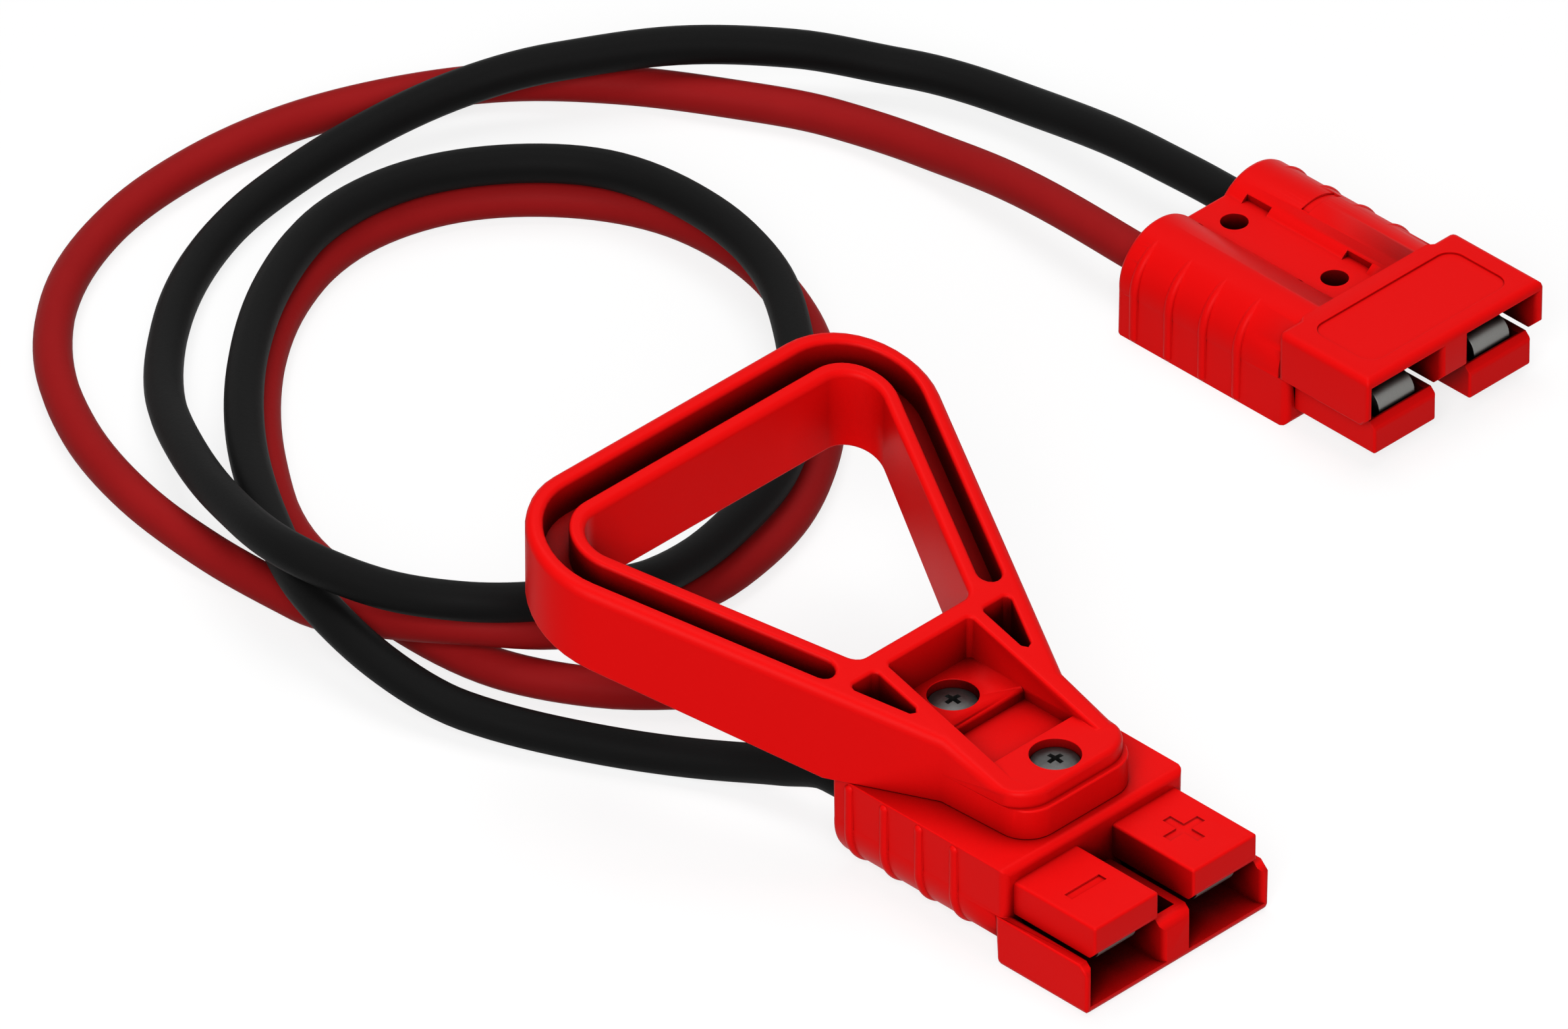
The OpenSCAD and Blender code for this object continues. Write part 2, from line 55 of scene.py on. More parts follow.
# Sizes of the object are in millimetres. Each connector has a frame of its own: X runs out of
# its mouth, Y towards its negative pole and Z from its flat face to its hood.
HOUSING_HEIGHT = 16.4
FRONT_AT = front_middle("front_housing") + Vector((0, 0, HOUSING_HEIGHT))
REAR_AT = front_middle("rear_housing")
AT_FRONT = Matrix.Translation(FRONT_AT) @ Matrix.Rotation(math.pi, 4, "X")
AT_REAR = Matrix.Translation(REAR_AT)
POLE_Y, LOBE_Z = 9.85, 8.25
CABLE_DIAMETER = 5.8
JACKET_END, CABLE_BEHIND = -39.5, -58.7
HOLE_FRONT, HOLE_PITCH = 24.3, 20.2

# The housing, in its connector's frame
HOOD_HALF, BODY_HALF, LOBE_SIDE = 18.25, 18.1, 17.965
TONGUE_TIP, MOUTH_CHAMFER, BODY_FRONT, HOOD_REAR, BODY_REAR = -0.45, -0.8, -16.4, -18.2, -50.7
TONGUE_FACE, SHOULDER, HOOD_EDGE = 2.4, 7.5, 8.1
RIBS_FROM, ROUNDED_FROM, PORT_RADIUS = -24, 13.8, 5

# The handle, in an upright frame on the front connector's upper face
RISE, KINK, PANEL_REAR, WEB_FRONT, FOOT = -24.1, -34.8, -38.6, -49.4, -51.6
OPENING, HANDLE_REAR = -52.2, -101.0
FLANGE_TOP, NOSE_TOP, NOSE_HALF, HEAD_BORE = 4.9, 7.5, 12.2, 3.8
SPLAY = math.radians(26)
TOP_SLOPE, UNDER_SLOPE = (math.tan(math.radians(angle)) for angle in (15.8, 18.9))
BEND_RADIUS = 13.3
BEND_X = HANDLE_REAR + BEND_RADIUS
BEND_Y = NOSE_HALF + (KINK - BEND_X) * math.tan(SPLAY) - BEND_RADIUS / math.cos(SPLAY)

# What counts as one point, as flat, as a crease, and as lying on or beside a face
SAME_POINT, NEAR_POINT = 0.001, 0.015
FLAT, CREASE, CHAMFER = (math.radians(angle) for angle in (0.5, 35, 50))
ON_FACE, ON_LEVEL, BESIDE = 0.02, 0.03, 0.1

# Radii of edges by their kind
WIDEST_ROUNDING, SHEARED_EDGE = 1.5, 0.15
HOUSING_ROUNDING = {
    "sharp": 0, "moulded": 0.12, "hood top": 1.2, "hood front": 0.5, "hood side": 0.3,
    "mouth top": 0.6, "shoulder": 1.3, "foot front": 0.4, "foot side": 0.18, "port": 0.3,
    "body rear": 0.9, "tongue": 0.45}
HANDLE_ROUNDING = {
    "sharp": 0, "screw seat": 0.12, "nose top": 0.9, "outer rim": WIDEST_ROUNDING,
    "opening rim": 0.9, "groove rim": 0.7, "web rim": 0.7, "pocket rim": 0.5, "nose foot": 0.2,
    "grip foot": 0.6, "flange": 0.3, "panel rear": 0.7, "panel side": 0.2}

# The picture: what lies at its middle, the way back to the camera and how many metres that is,
# and its even scale
VIEW_MIDDLE = FRONT_AT + Vector((-64.78, -13.33, 35.04))
VIEW_BACK = Vector((1, -1, 1)).normalized()
VIEW_DISTANCE = 4.0
PICTURE_WIDTH, PIXELS_PER_MM = 2380, 10.824


def new_object(name, data):
    """An object that is part of the scene."""
    made = bpy.data.objects.new(name, data)
    bpy.context.scene.collection.objects.link(made)
    return made


def mesh_object(name, made):
    """An object from a bmesh, which is used up."""
    mesh = bpy.data.meshes.new(name)
    made.to_mesh(mesh)
    made.free()
    return new_object(name, mesh)


def aim(thing, place, target):
    """Puts a camera or a lamp at a place, facing a target."""
    thing.location = place
    thing.rotation_mode = "QUATERNION"
    thing.rotation_quaternion = (target - place).to_track_quat("-Z", "Y")


def make_camera():
    """A long lens from in front and above, far enough away for the picture's even scale."""
    frame_width = PICTURE_WIDTH / PIXELS_PER_MM * MM
    data = bpy.data.cameras.new("camera")
    data.sensor_fit = "HORIZONTAL"
    data.sensor_width = 36
    data.lens = data.sensor_width * VIEW_DISTANCE / frame_width
    data.clip_start, data.clip_end = 0.1, 20
    camera = new_object("camera", data)
    aim(camera, VIEW_MIDDLE * MM + VIEW_BACK * VIEW_DISTANCE, VIEW_MIDDLE * MM)
    bpy.context.scene.camera = camera


class Wire:
    """One output of a node tree. Sums on it add Math nodes."""

    def __init__(self, tree, socket):
        self.tree, self.socket = tree, socket

    def __add__(self, other):
        return self.tree.maths("ADD", self, other)

    def __radd__(self, other):
        return self.tree.maths("ADD", other, self)

    def __sub__(self, other):
        return self.tree.maths("SUBTRACT", self, other)

    def __rsub__(self, other):
        return self.tree.maths("SUBTRACT", other, self)

    def __mul__(self, other):
        return self.tree.maths("MULTIPLY", self, other)

    def __rmul__(self, other):
        return self.tree.maths("MULTIPLY", other, self)

    def __truediv__(self, other):
        return self.tree.maths("DIVIDE", self, other)

    def __rtruediv__(self, other):
        return self.tree.maths("DIVIDE", other, self)


class Tree:
    """A shader or geometry node tree under construction."""

    def __init__(self, tree):
        self.tree = tree
        tree.nodes.clear()

    def add(self, kind, settings=None, inputs=None, output=0):
        """Adds a node, with its settings first and then its inputs, and returns one output."""
        node = self.tree.nodes.new(kind)
        for name, value in (settings or {}).items():
            setattr(node, name, value)
        for name, value in (inputs or {}).items():
            for one in value if isinstance(value, list) else [value]:
                if isinstance(one, Wire):
                    self.tree.links.new(one.socket, node.inputs[name])
                else:
                    node.inputs[name].default_value = one
        return Wire(self, node.outputs[output]) if node.outputs else None

    def maths(self, operation, *terms):
        return self.add("ShaderNodeMath", {"operation": operation}, dict(enumerate(terms)))


def finish(name, make):
    """A material whose principled inputs come from make(tree, place)."""
    material = bpy.data.materials.new(name)
    material.use_nodes = True
    tree = Tree(material.node_tree)
    place = tree.add("ShaderNodeTexCoord", output="Object")
    surface = tree.add("ShaderNodeBsdfPrincipled", {}, make(tree, place))
    tree.add("ShaderNodeOutputMaterial", {}, {"Surface": surface})
    return material


def noise(tree, place, scale, detail, roughness=0.5):
    inputs = {"Vector": place, "Scale": scale, "Detail": detail, "Roughness": roughness}
    return tree.add("ShaderNodeTexNoise", {}, inputs, "Fac")


def stretched(tree, place, scale):
    return tree.add("ShaderNodeMapping", {}, {"Vector": place, "Scale": scale})


def between(tree, share, dark, light):
    """A colour part of the way from dark to light, each an RGB triple or a wire."""
    ends = [end if isinstance(end, Wire) else (*end, 1) for end in (dark, light)]
    # The Mix node's factor, its two colours and its mixed colour have these places in its sockets
    return tree.add("ShaderNodeMix", {"data_type": "RGBA"}, {0: share, 6: ends[0], 7: ends[1]}, 2)


def bumped(tree, height, depth, strength):
    inputs = {"Height": height, "Distance": depth * MM, "Strength": strength}
    return tree.add("ShaderNodeBump", {}, inputs, "Normal")


def painted_shade_factor(tree, reach, least, gain):
    """Share for painted shade from ambient occlusion: 1 or more on open faces, falling to 0 in gaps
    that see no more than the least share.
    """
    inputs = {"Distance": reach * MM}
    seen = tree.add("ShaderNodeAmbientOcclusion", {"samples": 8}, inputs, "AO")
    return (seen - least) * gain


def red_plastic(tree, place):
    """Satin moulded plastic: faint clouds in the colour, painted shade in gaps and corners from
    ambient occlusion, and a fine grain.
    """
    # The dark colour is painted shade for gaps and corners; the light one is the plastic's own red.
    painted_gap_shade, unshaded_red = (0.03, 0.0004, 0.0004), (0.90, 0.004, 0.004)
    cloud = noise(tree, place, scale=45, detail=3)
    grain = noise(tree, place, scale=2600, detail=2)
    # Painted shade: ambient occlusion darkens the base colour in gaps, corners and between parts.
    light = painted_shade_factor(tree, reach=16, least=0.24, gain=1.58)
    return {
        "Base Color": between(tree, light * (0.94 + cloud * 0.12), painted_gap_shade, unshaded_red),
        "Roughness": 0.34 + cloud * 0.08 + grain * 0.06,
        "Normal": bumped(tree, grain, depth=0.02, strength=0.5),
        "Specular IOR Level": 0.05,
    }


def jacket(dark, light):
    """Soft cable jacket: dull, with faint clouds and a fine grain."""
    def make(tree, place):
        cloud = noise(tree, place, scale=70, detail=4, roughness=0.6)
        grain = noise(tree, place, scale=1800, detail=3)
        return {
            "Base Color": between(tree, cloud, dark, light),
            "Roughness": 0.5 + cloud * 0.12 + grain * 0.08,
            "Normal": bumped(tree, grain, depth=0.03, strength=0.6),
            "Specular IOR Level": 0.05,
        }
    return make


def metal(dark, light, roughness, lines):
    """Worked metal: fine lines along one direction in its colour, gloss and surface, and painted
    shade in gaps from ambient occlusion."""
    # Painted shade: the near-black colour that the metal darkens to in gaps.
    painted_gap_shade = (0.004, 0.004, 0.004)

    def make(tree, place):
        line = noise(tree, stretched(tree, place, lines), scale=1.0, detail=4, roughness=0.6)
        cloud = noise(tree, place, scale=250, detail=3)
        shine = between(tree, line * 0.6 + cloud * 0.4, dark, light)
        # Painted shade from ambient occlusion.
        unshaded_share = painted_shade_factor(tree, reach=6, least=0.3, gain=3.5)
        return {
            "Base Color": between(tree, unshaded_share, painted_gap_shade, shine),
            "Metallic": 1.0,
            "Roughness": roughness - 0.08 + line * 0.12 + cloud * 0.06,
            "Normal": bumped(tree, line, depth=0.01, strength=0.5),
        }
    return make


def dark_steel(tree, place):
    """Blackened screw steel with a cloudy tone."""
    cloud = noise(tree, place, scale=900, detail=4, roughness=0.65)
    grain = noise(tree, place, scale=4000, detail=2)
    return {
        "Base Color": between(tree, cloud, (0.04, 0.04, 0.04), (0.11, 0.11, 0.107)),
        "Metallic": 0.9,
        "Roughness": 0.32 + cloud * 0.14 + grain * 0.05,
        "Normal": bumped(tree, grain, depth=0.01, strength=0.6),
    }


def make_finishes():
    """Every finish by the name of its slot."""
    lengthwise, upright = (80, 6000, 6000), (3000, 3000, 400)
    makers = {
        "red_plastic": red_plastic,
        "red_jacket": jacket((0.31, 0.008, 0.009), (0.38, 0.012, 0.013)),
        "black_jacket": jacket((0.004, 0.004, 0.004), (0.007, 0.007, 0.007)),
        "contact_metal": metal((0.16, 0.16, 0.15), (0.26, 0.26, 0.25), 0.42, lengthwise),
        "spring_steel": metal((0.38, 0.38, 0.39), (0.55, 0.55, 0.57), 0.34, lengthwise),
        "nut_steel": metal((0.42, 0.42, 0.42), (0.60, 0.60, 0.59), 0.32, upright),
        "dark_steel": dark_steel,
        "copper": metal((0.62, 0.24, 0.12), (0.78, 0.36, 0.20), 0.34, lengthwise),
    }
    return {name: finish(name, make) for name, make in makers.items()}


# Middle lines of the cables, from the rear connector to the front one
RED_WAY = [
    (-89, 62, 6.5), (-106, 62, 4), (-122, 59, 3), (-136, 52, 3), (-150, 43, 3), (-162, 32, 3),
    (-171, 18, 3), (-177, 2, 3), (-179, -15, 3), (-177, -33, 3), (-170, -50, 3), (-158, -64, 3),
    (-142, -74, 3), (-125, -79.5, 3), (-107, -81.5, 3), (-90, -81, 3), (-75, -79.7, 6.9),
    (-62.3, -75.2, 9.8), (-53, -63.6, 8), (-51, -47, 4.5), (-51, -32, 3), (-55, -16, 3),
    (-64, -1, 3), (-76, 11, 3), (-90, 20, 3), (-106, 25, 3), (-122, 24, 3), (-136, 16, 3),
    (-146, 3, 3), (-149, -13, 3), (-144, -30, 3), (-133, -46, 3), (-118, -60, 3), (-100, -71, 3),
    (-80, -74, 3), (-60, -73, 3), (-45, -66, 3), (-27, -51, 4.5), (-13, -44, 6.5)]
BLACK_WAY = [
    (-76, 80, 8), (-88, 80, 7), (-105, 79, 5), (-121, 73, 5.5), (-133, 62, 8.5), (-144, 49, 10),
    (-154, 34, 9.5), (-162, 20, 7), (-166, 3, 4.5), (-166, -14, 3), (-161, -31, 3),
    (-152, -46, 3.5), (-138, -61, 5.5), (-122, -72, 9), (-104, -81, 13), (-87, -86, 16),
    (-72, -83, 15.5), (-60.5, -77.5, 16), (-53.8, -68.4, 14.8), (-51, -58, 13), (-50, -49, 11),
    (-53, -31, 9), (-58, -16, 9), (-68, -2, 9), (-81, 10, 9), (-95, 19, 9), (-111, 23, 9),
    (-128, 21, 9), (-140, 12, 9), (-148, -2, 9), (-149, -18, 9), (-143, -34, 9), (-132, -50, 9),
    (-118, -64, 9), (-101, -76, 9.5), (-83, -85, 9.5), (-67, -87, 7), (-53, -84, 4), (-36, -76, 3),
    (-18, -66.4, 4), (-10, -63.6, 5.9)]


def cable_points(pole, way):
    """Whole route of a cable, from the rear connector's barrel to the front one's, in metres."""
    start = [AT_REAR @ Vector((x, pole * POLE_Y, LOBE_Z)) for x in (JACKET_END, CABLE_BEHIND)]
    end = [AT_FRONT @ Vector((x, pole * POLE_Y, LOBE_Z)) for x in (CABLE_BEHIND, JACKET_END)]
    return [p * MM for p in start + [Vector(p) for p in way] + end]


def level_slope(before, here, after):
    """Slope of a height at a point: even over a crest, flat where the cable comes to lie level."""
    most = 1.3
    rise_to, rise_on = here - before, after - here
    even = (rise_to + rise_on) / 2
    if rise_to > 0 > rise_on:
        return even
    if rise_to * rise_on <= 0:
        return 0.0
    steepest = most * min(abs(rise_to), abs(rise_on))
    return math.copysign(min(steepest, abs(even)), even)


def make_cable(name, pole, way, finish_name):
    """A round cable along its route, on one smooth curve that never dips below the route."""
    points = cable_points(pole, way)
    last = len(points) - 1
    curve = bpy.data.curves.new(name, "CURVE")
    curve.dimensions = "3D"
    curve.bevel_depth = CABLE_DIAMETER / 2 * MM
    curve.bevel_resolution = 5
    curve.resolution_u = 8
    curve.use_fill_caps = True
    curve.materials.append(finishes[finish_name])
    spline = curve.splines.new("BEZIER")
    spline.bezier_points.add(last)
    for i, (knot, here) in enumerate(zip(spline.bezier_points, points)):
        before, after = points[max(i - 1, 0)], points[min(i + 1, last)]
        ahead = (after - before).normalized()
        gap_back, gap_on = (here - before).length, (after - here).length
        reach = max(gap_back, gap_on) if i in (0, last) else min(gap_back, gap_on)
        lean = Vector((ahead.x, ahead.y, 0)) * reach
        lean.z = level_slope(before.z, here.z, after.z)
        knot.handle_left_type = knot.handle_right_type = "FREE"
        knot.co = here
        knot.handle_left = here - lean * (gap_back / reach / 3)
        knot.handle_right = here + lean * (gap_on / reach / 3)
    cable = new_object(name, curve)
    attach(cable, "root")
    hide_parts(finish_name.split("_")[0] + "_cable")


def merged_copy(node):
    """A copy of a node's triangles with flat faces made whole again."""
    made = bmesh.new()
    made.from_mesh(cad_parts[node].data)
    bmesh.ops.remove_doubles(made, verts=made.verts, dist=SAME_POINT * MM)
    bmesh.ops.dissolve_limit(made, angle_limit=FLAT, use_dissolve_boundaries=False,
                             verts=made.verts, edges=made.edges, delimit=set())
    return made


def soften(made, radius_of):
    """Marks each edge with the radius that radius_of(edge) gives it."""
    weight = made.edges.layers.float.new("bevel_weight_edge")
    for edge in made.edges:
        if edge.is_manifold and edge.calc_face_angle(0.0) > CREASE:
            edge[weight] = radius_of(edge) / WIDEST_ROUNDING


def grown_mesh(piece):
    """The mesh that a piece's modifiers make. They are taken off it."""
    graph = bpy.context.evaluated_depsgraph_get()
    mesh = bpy.data.meshes.new_from_object(piece.evaluated_get(graph))
    piece.modifiers.clear()
    return mesh


def finished_piece(name, made, finish_name, nodes, cutters=()):
    """Turns a bmesh into a piece that stands for its nodes, with edges rounded and recesses cut."""
    piece = mesh_object(name, made)
    rounding = piece.modifiers.new("rounding", "BEVEL")
    rounding.limit_method, rounding.width = "WEIGHT", WIDEST_ROUNDING * MM
    rounding.segments, rounding.loop_slide, rounding.use_clamp_overlap = 3, False, False
    for cutter in cutters:
        cut = piece.modifiers.new("recess", "BOOLEAN")
        cut.operation, cut.solver, cut.object = "DIFFERENCE", "EXACT", cutter
    dress(piece, grown_mesh(piece), finish_name, nodes)


def dress(piece, mesh, finish_name, nodes):
    """Gives a piece its final mesh, smooth shading, finish and place in the frame."""
    piece.data = mesh
    mesh.name = piece.name
    mesh.materials.clear()
    mesh.materials.append(finishes[finish_name])
    mesh.shade_smooth()
    mesh.set_sharp_from_angle(angle=CREASE)
    eased = piece.modifiers.new("eased normals", "WEIGHTED_NORMAL")
    eased.keep_sharp = True
    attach(piece, "root")
    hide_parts(*nodes)


def cutting_block(name, made, at):
    """Turns a bmesh in a connector's own frame into a cutting block."""
    bmesh.ops.recalc_face_normals(made, faces=made.faces)
    bmesh.ops.transform(made, matrix=Matrix.Scale(MM, 4) @ at, verts=made.verts)
    return mesh_object(name, made)


def straight_bar(low, high, at):
    """A cutting block between two corners."""
    size, middle = Vector(high) - Vector(low), (Vector(high) + Vector(low)) / 2
    stretch = Matrix.Translation(middle) @ Matrix.Diagonal((*size, 1))
    made = bmesh.new()
    bmesh.ops.create_cube(made, size=1, matrix=stretch)
    return cutting_block("sign_bar", made, at)


def curved_bar(x_ends, angles, radii, at):
    """A cutting block that follows the negative lobe's round back."""
    steps = 10
    (x0, x1), (inner, outer) = x_ends, radii
    made = bmesh.new()
    rings = []
    for i in range(steps + 1):
        angle = math.radians(angles[0] + (angles[1] - angles[0]) * i / steps)
        rings.append([
            made.verts.new((x, POLE_Y + r * math.sin(angle), LOBE_Z + r * math.cos(angle)))
            for x, r in ((x0, inner), (x1, inner), (x1, outer), (x0, outer))])
    for ring, after in zip(rings, rings[1:]):
        for k in range(4):
            made.faces.new((ring[k], ring[(k + 1) % 4], after[(k + 1) % 4], after[k]))
    made.faces.new(rings[0])
    made.faces.new(rings[-1])
    return cutting_block("sign_arc", made, at)


def polarity_cutters(at):
    """Minus on the negative tongue and lobe, plus on the positive tongue."""
    x, arm, stroke = -8.6, 3.45, 0.775
    depth, overhang = 0.3, 1
    low, high = TONGUE_FACE - overhang, TONGUE_FACE + depth
    arc_ends, arc_angles, arc_radii = (-37.8, -36.25), (-21, 29), (7.85, 9.2)
    return [
        straight_bar((x - stroke, POLE_Y - arm, low), (x + stroke, POLE_Y + arm, high), at),
        straight_bar((x - stroke, -POLE_Y - arm, low), (x + stroke, -POLE_Y + arm, high), at),
        straight_bar((x - arm, -POLE_Y - stroke, low), (x + arm, -POLE_Y + stroke, high), at),
        curved_bar(arc_ends, arc_angles, arc_radii, at)]


def on_housing(measure, *places):
    return any(abs(measure - place) < ON_FACE for place in places)


def ready_for_rounding(made, home):
    """Brings the shoulders' ends into line with the lobes, and ends the hood's rear edge where
    its rounding stops."""
    for vertex in made.verts:
        p = home @ vertex.co
        if on_housing(p.z, SHOULDER) and on_housing(abs(p.y), BODY_HALF):
            p.y = math.copysign(LOBE_SIDE, p.y)
            vertex.co = home.inverted() @ p
    bmesh.ops.remove_doubles(made, verts=made.verts, dist=NEAR_POINT * MM)
    for edge in list(made.edges):
        first, second = sorted(edge.verts, key=lambda v: -abs((home @ v.co).y))
        outer, inner = home @ first.co, home @ second.co
        if not all(on_housing(p.x, HOOD_REAR) and on_housing(p.z, HOUSING_HEIGHT)
                   for p in (outer, inner)):
            continue
        if abs(outer.y) > HOOD_HALF - BESIDE and outer.y * inner.y > 0:
            share = (abs(outer.y) - ROUNDED_FROM) / (abs(outer.y) - abs(inner.y))
            bmesh.utils.edge_split(edge, first, share)


def housing_edge(edge, home):
    """The kind of an edge of a housing, by the faces that it lies on."""
    ends = [home @ v.co for v in edge.verts]

    def on(axis, *places):
        return all(on_housing(p[axis], *places) for p in ends)

    def on_port(p):
        return min(math.hypot(p.y - y, p.z - LOBE_Z) for y in (-POLE_Y, POLE_Y)) < PORT_RADIUS

    if not edge.is_convex:
        return "sharp"
    if on(Y, -HOOD_HALF, HOOD_HALF):
        if on(Z, HOUSING_HEIGHT) or on(X, HOOD_REAR):
            return "hood top"
        return "hood front" if on(X, 0) else "hood side"
    if on(X, 0, MOUTH_CHAMFER) and edge.calc_face_angle() < CHAMFER:
        return "sharp"
    if on(X, 0):
        return "mouth top" if on(Z, HOUSING_HEIGHT) else "moulded"
    if on(X, HOOD_REAR) and on(Z, HOUSING_HEIGHT):
        return "hood top" if all(abs(p.y) > ROUNDED_FROM - BESIDE for p in ends) else "sharp"
    if on(X, HOOD_REAR) or on(Z, HOOD_EDGE):
        return "sharp"
    if on(X, BODY_FRONT):
        if all(abs(p.y) > LOBE_SIDE - ON_FACE for p in ends):
            return "shoulder"
        return "foot front" if on(Z, 0) else "moulded"
    if on(X, BODY_REAR):
        return "port" if all(on_port(p) for p in ends) else "body rear"
    if on(Z, 0) and on(Y, -BODY_HALF, BODY_HALF):
        return "foot side"
    if on(X, TONGUE_TIP) or on(Z, TONGUE_FACE):
        return "tongue"
    on_ribs = any(abs(p.y) > POLE_Y and p.x < RIBS_FROM for p in ends)
    return "sharp" if on_ribs else "moulded"


def make_housing(name, node, at):
    """A connector housing with softened moulding edges and its polarity signs."""
    made = merged_copy(node)
    home = at.inverted() @ Matrix.Scale(1 / MM, 4)
    ready_for_rounding(made, home)
    soften(made, lambda edge: HOUSING_ROUNDING[housing_edge(edge, home)])
    cutters = polarity_cutters(at)
    finished_piece(name, made, "red_plastic", [node], cutters)
    for cutter in cutters:
        bpy.data.objects.remove(cutter)


def fade_ledge(made):
    """Swells the nose sideways above its flange, so that the flange's ledge fades at the sides."""
    nose_flat, nose_radius, swell = 6.2, 5.0, 0.42
    flange_x, flange_y = -23.4, 6.6
    for vertex in made.verts:
        p = vertex.co / MM - FRONT_AT
        out = (abs(p.y) - nose_flat) / nose_radius
        from_bend = math.hypot(p.x - flange_x, abs(p.y) - flange_y)
        on_flange = (from_bend > nose_radius - ON_FACE and p.x > flange_x - 0.01
                     and p.z < FLANGE_TOP + ON_LEVEL)
        on_nose = p.x > RISE - BESIDE and p.z > FLANGE_TOP - ON_LEVEL
        if out > 0 and on_nose and not on_flange:
            vertex.co.y += math.copysign(swell * out * out * MM, p.y)


def handle_inset(p):
    """Distance of a point from the handle's outer side, seen from above."""
    out = Vector((p.x - BEND_X, abs(p.y) - BEND_Y))
    if out.y > 0 and math.atan2(out.y, out.x) > math.pi / 2 - SPLAY:
        return BEND_RADIUS - out.length
    side = NOSE_HALF + (KINK - p.x) * math.tan(SPLAY)
    return min((side - abs(p.y)) * math.cos(SPLAY), p.x - HANDLE_REAR)


def handle_edge(edge):
    """The kind of an edge of the handle, by the height and the wall that it lies on."""
    nose_rear, flange_front, nose_foot_rear = RISE - 0.3, RISE + 3.4, OPENING - 3
    outside, past_groove = 0.3, 8.2
    holes = (-HOLE_FRONT, -HOLE_FRONT - HOLE_PITCH)
    ends = [v.co / MM - FRONT_AT for v in edge.verts]
    middle = (ends[0] + ends[1]) / 2

    def at_height(height):
        return all(abs(p.z - height(p)) < ON_LEVEL for p in ends)

    if not edge.is_convex:
        return "sharp"
    if all(min(math.hypot(p.x - x, p.y) for x in holes) < HEAD_BORE for p in ends):
        return "screw seat"
    if at_height(lambda p: NOSE_TOP + max(RISE - p.x, 0) * TOP_SLOPE):
        inset = handle_inset(middle)
        if middle.x > nose_rear:
            return "nose top"
        if inset < outside:
            return "outer rim"
        if middle.x < OPENING + BESIDE:
            return "opening rim" if inset > past_groove else "groove rim"
        return "web rim" if middle.x < WEB_FRONT - BESIDE else "pocket rim"
    if at_height(lambda p: max(FOOT - p.x, 0) * UNDER_SLOPE):
        return "nose foot" if middle.x > nose_foot_rear else "grip foot"
    if at_height(lambda p: FLANGE_TOP):
        return "flange" if middle.x > flange_front else "sharp"
    if at_height(lambda p: NOSE_TOP):
        return "panel rear" if abs(middle.x - PANEL_REAR) < BESIDE else "panel side"
    return "sharp"


def make_handle():
    """The forked handle, with each rim rounded as far as the wall beside it allows."""
    made = merged_copy("handle")
    fade_ledge(made)
    soften(made, lambda edge: HANDLE_ROUNDING[handle_edge(edge)])
    finished_piece("handle_moulding", made, "red_plastic", ["handle"])


def make_stamping(name, node, finish_name):
    """A stamped metal piece with its sheared edges broken."""
    made = merged_copy(node)
    soften(made, lambda edge: SHEARED_EDGE)
    finished_piece(name, made, finish_name, [node])


def grown_piece(name, build, counts, sizes, place, finish_name, node):
    """A piece that its own geometry nodes grow from named counts and sizes."""
    group = bpy.data.node_groups.new(name, "GeometryNodeTree")
    group.interface.new_socket("Geometry", in_out="OUTPUT", socket_type="NodeSocketGeometry")
    kinds = {**dict.fromkeys(counts, "NodeSocketInt"), **dict.fromkeys(sizes, "NodeSocketFloat")}
    sockets = {key: group.interface.new_socket(key, in_out="INPUT", socket_type=kind)
               for key, kind in kinds.items()}
    tree = Tree(group)
    shape = build(tree, {key: tree.add("NodeGroupInput", output=key) for key in kinds})
    real = tree.add("GeometryNodeRealizeInstances", {}, {"Geometry": shape})
    inputs = {"Geometry": real, "Material": finishes[finish_name]}
    coated = tree.add("GeometryNodeSetMaterial", {}, inputs)
    tree.add("NodeGroupOutput", {}, {"Geometry": coated})
    piece = new_object(name, bpy.data.meshes.new(name))
    growth = piece.modifiers.new("growth", "NODES")
    growth.node_group = group
    for key, value in {**counts, **{key: size * MM for key, size in sizes.items()}}.items():
        growth[sockets[key].identifier] = value
    whole = grown_mesh(piece)
    whole.transform(Matrix.Scale(MM, 4) @ place @ Matrix.Scale(1 / MM, 4))
    dress(piece, whole, finish_name, [node])


def triple(tree, x=0.0, y=0.0, z=0.0):
    return tree.add("ShaderNodeCombineXYZ", {}, {"X": x, "Y": y, "Z": z})


def spot(tree):
    """The three coordinates of each point of a shape."""
    position = tree.add("GeometryNodeInputPosition")
    return [tree.add("ShaderNodeSeparateXYZ", {}, {0: position}, axis) for axis in "XYZ"]


def moved(tree, shape, offset, only=True):
    inputs = {"Geometry": shape, "Selection": only, "Offset": offset}
    return tree.add("GeometryNodeSetPosition", {}, inputs)


def rod(tree, sides, radius, depth, rings=1, cap_rings=1):
    """An upright rod round the middle, with rings along it and on its caps."""
    inputs = {"Vertices": sides, "Side Segments": rings, "Fill Segments": cap_rings,
              "Radius": radius, "Depth": depth}
    return tree.add("GeometryNodeMeshCylinder", {"fill_type": "TRIANGLE_FAN"}, inputs)


def less(tree, shape, tools):
    settings = {"operation": "DIFFERENCE", "solver": "EXACT"}
    return tree.add("GeometryNodeMeshBoolean", settings, {0: shape, 1: tools})


def in_a_row(tree, shape, count, pitch):
    """Copies of a shape, one pitch apart towards the rear."""
    line = tree.add("GeometryNodeMeshLine", {}, {"Count": count, "Offset": triple(tree, 0 - pitch)})
    return tree.add("GeometryNodeInstanceOnPoints", {}, {"Points": line, "Instance": shape})


